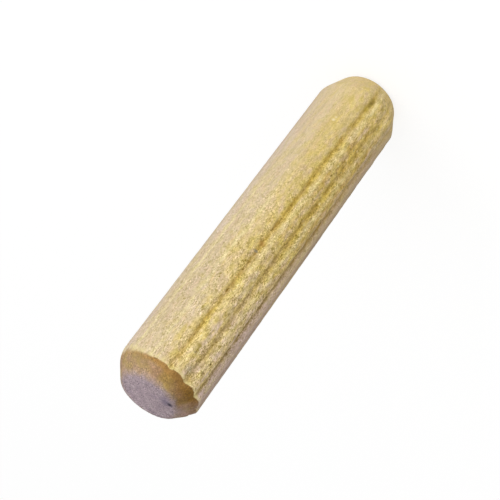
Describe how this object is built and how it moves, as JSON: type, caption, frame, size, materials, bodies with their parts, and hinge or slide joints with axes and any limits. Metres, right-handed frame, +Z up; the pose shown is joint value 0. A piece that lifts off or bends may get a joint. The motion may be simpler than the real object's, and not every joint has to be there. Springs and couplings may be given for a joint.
{
  "type": "dowel pin",
  "caption": "Straight-fluted wooden dowel pin with chamfered ends, glued and pressed into two drilled holes to line up and join boards.",
  "frame": {"origin": "centre of the flat face at the foot, which the pin stands on", "axes": "+Z up along the pin's axis, +X through the middle of a land's side; a flute faces -Y"},
  "size_m": [0.008, 0.008, 0.0381],
  "materials": {
    "bare_wood": "bare, unfinished pale hardwood with fine grain along the pin and darker end chamfers"
  },
  "bodies": {
    "root": {"dowel_pin": "bare_wood"}
  },
  "joints": []
}
